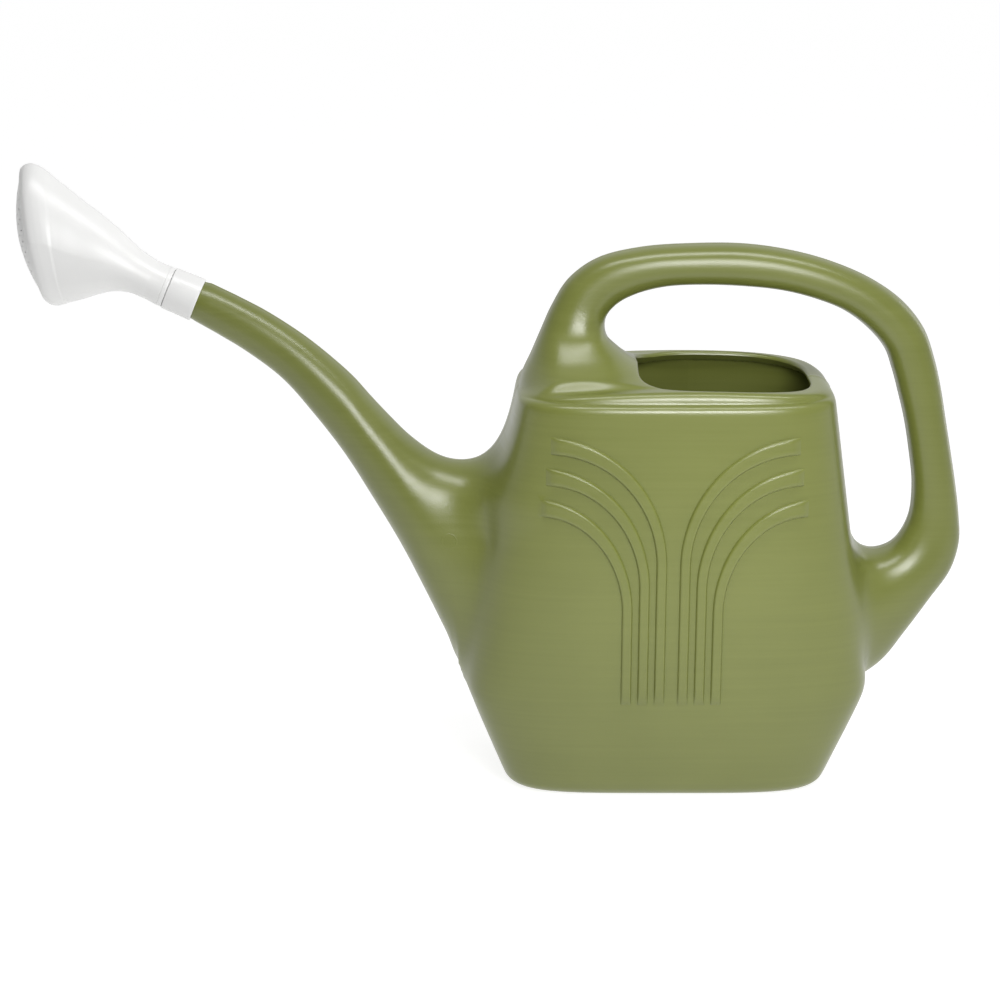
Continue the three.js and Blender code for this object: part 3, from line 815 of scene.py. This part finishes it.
def build_collar():
    """The sleeve, from its end on the spout round the outside, and back by the bore's snap groove."""
    profile = [(12.8, GAP), (14.5, GAP), (14.85, GAP + 0.12), (15.05, GAP + 0.4), (15.1, GAP + 0.9)]
    profile += [(15.02, 3.2), (14.98, 4), (14.56, 20.2), (14.5, COLLAR_LENGTH - 0.45)]
    profile += [(14.35, COLLAR_LENGTH - 0.12), (14, COLLAR_LENGTH), (12.8, COLLAR_LENGTH)]
    profile += [(12.8, 17.8), (13.4, 17.8), (13.4, 15.2), (12.8, 15.2)]
    return turned("collar_sleeve", profile)


def bell_section(upper, lower, depth, crease, shrink=0.0):
    """A rounded section with a soft crease along each side."""
    centre = (upper + lower) / 2
    half_span = np.linalg.norm(upper - lower) / 2
    up = (upper - lower) / (2 * half_span)
    u, v = superellipse(half_span - shrink, depth - shrink, ROSE_POWER, ROSE_SIDES)
    share = np.abs(u) / (half_span - shrink)
    v = v * (1 - crease * share * (1 - share))
    return centre + np.outer(u, up) + np.outer(v, (0, 1, 0))


def bell_rings(count, shrink=0.0, last=len(ROSE_STATIONS) - 1):
    """Sections of the bell from its neck to the last station asked for."""
    fine = 10 * count
    high = catmull([(s[0][0], s[2], s[0][1]) for s in ROSE_STATIONS], fine)
    low = catmull([(s[1][0], 0, s[1][1]) for s in ROSE_STATIONS], fine)
    rings = []
    for where in np.linspace(0, last, count):
        index = round(where / (len(ROSE_STATIONS) - 1) * (fine - 1))
        upper, lower = high[index].copy(), low[index]
        depth = upper[1]
        upper[1] = 0
        crease = ROSE_CREASE * smoothstep(where, 1.2, 4.5)
        band = RIM_BAND * smoothstep(where, RIM_BAND_FROM, RIM_BAND_FROM + 0.12) if not shrink else 0
        rings.append(bell_section(upper, lower, depth, crease, shrink - band))
    return rings


RIM_UPPER, RIM_LOWER = (np.array([p[0], 0, p[1]]) for p in ROSE_STATIONS[-1][:2])
RIM_DEPTH = ROSE_STATIONS[-1][2]
FACE_CENTRE = (RIM_UPPER + RIM_LOWER) / 2
FACE_UP = (RIM_UPPER - RIM_LOWER) / np.linalg.norm(RIM_UPPER - RIM_LOWER)
FACE_OUT = np.array([-FACE_UP[2], 0, FACE_UP[0]])
FACE_SPAN = np.linalg.norm(RIM_UPPER - RIM_LOWER) / 2


def rim_section(set_back, shrink, crease=ROSE_CREASE):
    """A section parallel to the rim, smaller than it and set back from its front."""
    move = FACE_OUT * set_back
    return bell_section(RIM_UPPER - move, RIM_LOWER - move, RIM_DEPTH, crease, shrink)


def build_bell():
    """The rose's neck, snapped into the sleeve, and the bell, hollowed and seated for the plate."""
    neck = COLLAR_LENGTH + GAP
    turns = [(10.6, 12.2), (10.9, 12.5), (15.4, 12.5), (15.9, 13.05), (17.1, 13.05), (17.6, 12.5)]
    turns += [(neck, 12.5), (neck, 13.6), (neck + 0.12, 13.9), (neck + 0.4, 14), (neck + 3.1, 14)]
    turns += [(neck + 3.3, 13.8), (neck + 3.6, 13.8), (neck + 3.8, 14)]
    rings = [tip_section(along, radius, ROSE_SIDES) for along, radius in turns]
    rings += bell_rings(110)
    bell = make_object("rose_bell", *loft(closed(rings)))
    hollow = [tip_section(along, BORE_RADIUS, ROSE_SIDES) for along in (9, neck + 4)]
    hollow += bell_rings(40, ROSE_WALL + 1.3, last=6)[5:]
    hollow += [rim_section(PLATE_FLOOR + 1, ROSE_WALL + PLATE_LEDGE)]
    hollow += [rim_section(PLATE_FLOOR - 1, ROSE_WALL + PLATE_LEDGE)]
    combine(bell, make_object("hollow", *loft(closed(hollow))), "DIFFERENCE")
    seat = [rim_section(PLATE_FLOOR, ROSE_WALL), rim_section(0.6, ROSE_WALL)]
    seat += [rim_section(0.2, ROSE_WALL - 0.35), rim_section(-2, ROSE_WALL - 0.5)]
    combine(bell, make_object("seat", *loft(closed(seat))), "DIFFERENCE")
    return bell


def plate_section(share, drop, narrower):
    """A level line of the domed plate: share of the way out, and how far under its top face."""
    shrink = ROSE_WALL + GAP
    span = FACE_SPAN - shrink
    depth = RIM_DEPTH - shrink
    u, v = superellipse(share * span - narrower, share * depth - narrower, ROSE_POWER, ROSE_SIDES)
    reach = np.abs(u) / max(share * span - narrower, 1e-6)
    v = v * (1 - ROSE_CREASE * share * reach * (1 - reach))
    height = PLATE_BULGE * (1 - share**2) - drop
    centre = FACE_CENTRE + FACE_OUT * height
    return centre + np.outer(u, FACE_UP) + np.outer(v, (0, 1, 0))


def build_plate():
    """The domed plate with its many small holes, on a short skirt."""
    shares = [0.05, *np.linspace(0.1, 0.94, 16), 0.97, 0.985]
    top = [plate_section(share, 0, 0) for share in shares]
    edge = [plate_section(1, 0.1, 0.3), plate_section(1, 0.5, 0), plate_section(1, PLATE_SKIRT, 0)]
    inner = [plate_section(1, PLATE_SKIRT, PLATE_THICKNESS)]
    inner += [plate_section(share, PLATE_THICKNESS, PLATE_THICKNESS) for share in shares[:3:-1]]
    poles = (
        (FACE_CENTRE + FACE_OUT * PLATE_BULGE)[None],
        (FACE_CENTRE + FACE_OUT * (PLATE_BULGE - PLATE_THICKNESS))[None],
    )
    plate = make_object("rose_sieve", *loft([poles[0], *top, *edge, *inner, poles[1]]))
    vertices = []
    faces = []
    around = 2 * np.pi * np.arange(12) / 12
    for count, share in HOLE_RINGS:
        for k in range(count):
            angle = 2 * math.pi * (k + 0.5) / count
            u = share * (FACE_SPAN - 3) * math.cos(angle)
            v = share * (RIM_DEPTH - 3) * math.sin(angle)
            middle = FACE_CENTRE + FACE_UP * u + np.array([0, v, 0])
            circle = HOLE_RADIUS * (
                np.outer(np.cos(around), FACE_UP) + np.outer(np.sin(around), (0, 1, 0))
            )
            drill = closed([middle + circle - FACE_OUT * 6, middle + circle + FACE_OUT * 14])
            points, drill_faces = loft(drill)
            start = sum(len(drilled) for drilled in vertices)
            faces += [tuple(i + start for i in face) for face in drill_faces]
            vertices.append(points)
    combine(plate, make_object("drills", np.vstack(vertices), faces), "DIFFERENCE")
    return plate


# ------------------------------------------------------------------ materials


def new_material(name):
    material = bpy.data.materials.new(name)
    material.use_nodes = True
    return material, material.node_tree, material.node_tree.nodes["Principled BSDF"]


def add_node(tree, kind, **values):
    """A node with some of its inputs filled in: a value, or the output to link from."""
    node = tree.nodes.new(kind)
    for name, value in values.items():
        socket = node.inputs[name.replace("_", " ")]
        if isinstance(value, bpy.types.NodeSocket):
            tree.links.new(value, socket)
        else:
            socket.default_value = value
    return node


def calculate(tree, operation, *values):
    """Output of a maths node, of numbers and of other nodes' outputs."""
    node = tree.nodes.new("ShaderNodeMath")
    node.operation = operation
    for socket, value in zip(node.inputs, values):
        if isinstance(value, bpy.types.NodeSocket):
            tree.links.new(value, socket)
        else:
            socket.default_value = value
    return node.outputs[0]


def fade(tree, value, start, end, low, high):
    """Output that goes smoothly from low to high while the value goes from start to end."""
    node = add_node(tree, "ShaderNodeMapRange", Value=value)
    node.interpolation_type = "SMOOTHSTEP"
    for name, number in zip(("From Min", "From Max", "To Min", "To Max"), (start, end, low, high)):
        node.inputs[name].default_value = number
    return node.outputs[0]


def stretched_noise(tree, place, stretch, detail):
    """Noise in the object's own space, with a scale for each axis."""
    node = add_node(tree, "ShaderNodeMapping", Vector=place, Scale=stretch)
    noise = add_node(tree, "ShaderNodeTexNoise", Vector=node.outputs[0], Scale=1, Detail=detail)
    return noise.outputs["Fac"]


def tint(tree, factor, colours):
    """A ramp from one colour to the other."""
    ramp = add_node(tree, "ShaderNodeValToRGB", Fac=factor)
    for element, colour in zip(ramp.color_ramp.elements, colours):
        element.color = (*colour, 1)
    return ramp


def ring_mark(tree, place, centre, radius):
    """Height of the round mark that a mould insert leaves on the skin."""
    node = tree.nodes.new("ShaderNodeVectorMath")
    node.operation = "DISTANCE"
    tree.links.new(place, node.inputs[0])
    node.inputs[1].default_value = centre
    away = calculate(tree, "ABSOLUTE", calculate(tree, "SUBTRACT", node.outputs["Value"], radius))
    return fade(tree, away, 0.0001, 0.0006, 1, 0)


def can_plastic():
    """Olive polyethylene: leathery skin, faint level streaks, parting line and round marks."""
    material, tree, shader = new_material("can_plastic")
    place = tree.nodes.new("ShaderNodeTexCoord").outputs["Object"]
    cloud = stretched_noise(tree, place, (14, 14, 14), 4)
    streak = stretched_noise(tree, place, (9, 9, 420), 3)
    grain = stretched_noise(tree, place, (1000, 1000, 1000), 2)
    mixed = calculate(tree, "MULTIPLY_ADD", streak, 0.45, calculate(tree, "MULTIPLY", cloud, 0.55))
    ramp = tint(tree, mixed, (CAN_DARK, CAN_PALE))
    ramp.color_ramp.elements[0].position = 0.3
    ramp.color_ramp.elements[1].position = 0.7
    tree.links.new(ramp.outputs["Color"], shader.inputs["Base Color"])
    shine = calculate(tree, "MULTIPLY_ADD", streak, 0.10, 0.26)
    tree.links.new(shine, shader.inputs["Roughness"])
    shader.inputs["Specular IOR Level"].default_value = 0.6

    axes = add_node(tree, "ShaderNodeSeparateXYZ", Vector=place)
    off_middle = calculate(tree, "ABSOLUTE", axes.outputs["Y"])
    seam = fade(tree, off_middle, 0.0002, 0.0008, 1, 0)
    marks = [ring_mark(tree, place, *mark) for mark in (LOW_MARK, SIDE_MARK)]
    height = calculate(tree, "MULTIPLY_ADD", streak, 0.22, calculate(tree, "MULTIPLY", grain, 0.3))
    height = calculate(tree, "MULTIPLY_ADD", seam, 0.9, height)
    height = calculate(tree, "MULTIPLY_ADD", calculate(tree, "ADD", *marks), 0.35, height)
    bump = add_node(tree, "ShaderNodeBump", Height=height, Strength=0.35, Distance=0.0004)
    tree.links.new(bump.outputs["Normal"], shader.inputs["Normal"])
    return material


def rose_plastic():
    """White injection-moulded plastic, a little cloudy, with a fine grain."""
    material, tree, shader = new_material("rose_plastic")
    place = tree.nodes.new("ShaderNodeTexCoord").outputs["Object"]
    cloud = stretched_noise(tree, place, (35, 35, 35), 3)
    grain = stretched_noise(tree, place, (1500, 1500, 1500), 1)
    ramp = tint(tree, cloud, (ROSE_DARK, ROSE_PALE))
    tree.links.new(ramp.outputs["Color"], shader.inputs["Base Color"])
    shine = calculate(tree, "MULTIPLY_ADD", cloud, 0.12, 0.28)
    tree.links.new(shine, shader.inputs["Roughness"])
    bump = add_node(tree, "ShaderNodeBump", Height=grain, Strength=0.12, Distance=0.0002)
    tree.links.new(bump.outputs["Normal"], shader.inputs["Normal"])
    return material


def cover(piece, material):
    piece.data.materials.clear()
    piece.data.materials.append(material)


# ------------------------------------------------------------------ stage, light and camera


def add_lamp(name, data, place, target):
    """A lamp at a place, turned towards its target."""
    lamp = bpy.data.objects.new(name, data)
    lamp.location = place
    lamp.rotation_euler = (Vector(target) - Vector(place)).to_track_quat("-Z", "Y").to_euler()
    bpy.context.scene.collection.objects.link(lamp)


def add_area(name, place, target, size, power):
    data = bpy.data.lights.new(name, "AREA")
    data.shape = "RECTANGLE"
    data.size, data.size_y = size
    data.energy = power
    add_lamp(name, data, place, target)


def add_stage():
    """A pale floor that glows with painted light, so that it shows white under and behind the can;
    the glow is dimmer near the camera.
    """
    corners = [(x * FLOOR_REACH, y * FLOOR_REACH, 0) for x, y in ((-1, -1), (1, -1), (1, 1), (-1, 1))]
    mesh = bpy.data.meshes.new("floor")
    mesh.from_pydata(corners, [], [(0, 1, 2, 3)])
    floor = bpy.data.objects.new("floor", mesh)
    bpy.context.scene.collection.objects.link(floor)
    material, tree, shader = new_material("glowing_floor_paper")
    shader.inputs["Base Color"].default_value = (FLOOR_GREY, FLOOR_GREY, FLOOR_GREY, 1)
    shader.inputs["Roughness"].default_value = 0.9
    shader.inputs["Specular IOR Level"].default_value = 0
    shader.inputs["Emission Color"].default_value = (1, 1, 1, 1)
    place = tree.nodes.new("ShaderNodeTexCoord").outputs["Object"]
    axes = add_node(tree, "ShaderNodeSeparateXYZ", Vector=place)
    # painted light: the floor's glow fades from FRONT_GLOW near the camera to FLOOR_GLOW under and
    # behind the can
    glow = fade(tree, axes.outputs["Y"], -1.1, -0.4, FRONT_GLOW, FLOOR_GLOW)
    tree.links.new(glow, shader.inputs["Emission Strength"])
    cover(floor, material)


def add_world():
    """A white studio: dim in front and on the left, bright behind, above and on the right."""
    world = bpy.data.worlds.new("studio")
    world.use_nodes = True
    tree = world.node_tree
    place = tree.nodes.new("ShaderNodeTexCoord").outputs["Generated"]
    axes = add_node(tree, "ShaderNodeSeparateXYZ", Vector=place)
    above = fade(tree, axes.outputs["Z"], 0, 1, 0, WORLD_ABOVE)
    behind = fade(tree, axes.outputs["Y"], 0, 0.9, WORLD_FRONT, WORLD_FRONT + WORLD_BEHIND)
    right = fade(tree, axes.outputs["X"], 0.3, 1, 0, WORLD_RIGHT)
    left = fade(tree, axes.outputs["X"], -1, -0.3, WORLD_LEFT, 0)
    sides = calculate(tree, "ADD", right, left)
    total = calculate(tree, "ADD", calculate(tree, "ADD", above, behind), sides)
    tree.links.new(total, tree.nodes["Background"].inputs["Strength"])
    tree.nodes["Background"].inputs["Color"].default_value = (1, 1, 1, 1)
    bpy.context.scene.world = world


def add_lights():
    """The soft boxes, and a spot whose soft pool of light lies on the can's front."""
    for name, place, target, size, power in LIGHTS:
        add_area(name, place, target, size, power)
    data = bpy.data.lights.new("pool", "SPOT")
    data.energy = POOL_POWER
    data.spot_size = POOL_ANGLE
    data.spot_blend = 1
    data.shadow_soft_size = POOL_SOFTNESS
    add_lamp("pool", data, POOL_PLACE, POOL_TARGET)


def add_camera():
    data = bpy.data.cameras.new("camera")
    data.lens = CAMERA_LENS
    data.sensor_width = 36
    camera = bpy.data.objects.new("camera", data)
    camera.location = CAMERA_PLACE
    camera.rotation_euler = (CAMERA_TILT, 0, 0)
    bpy.context.scene.collection.objects.link(camera)
    bpy.context.scene.camera = camera


# ------------------------------------------------------------------ assembly

add_camera()
add_stage()
add_world()
add_lights()
bpy.context.scene.view_settings.view_transform = "Standard"

can = build_can()
cover(can, can_plastic())
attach(can, "can")
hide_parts("tank", "spout", "handle")

white = rose_plastic()
rose_pieces = (
    (build_collar(), "collar", "rose_collar"),
    (build_bell(), "rose", "rose_shell"),
    (build_plate(), "rose", "rose_plate"),
)
for piece, body, node in rose_pieces:
    smooth_shade(piece, ROSE_SHARP)
    cover(piece, white)
    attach(piece, body)
    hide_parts(node)
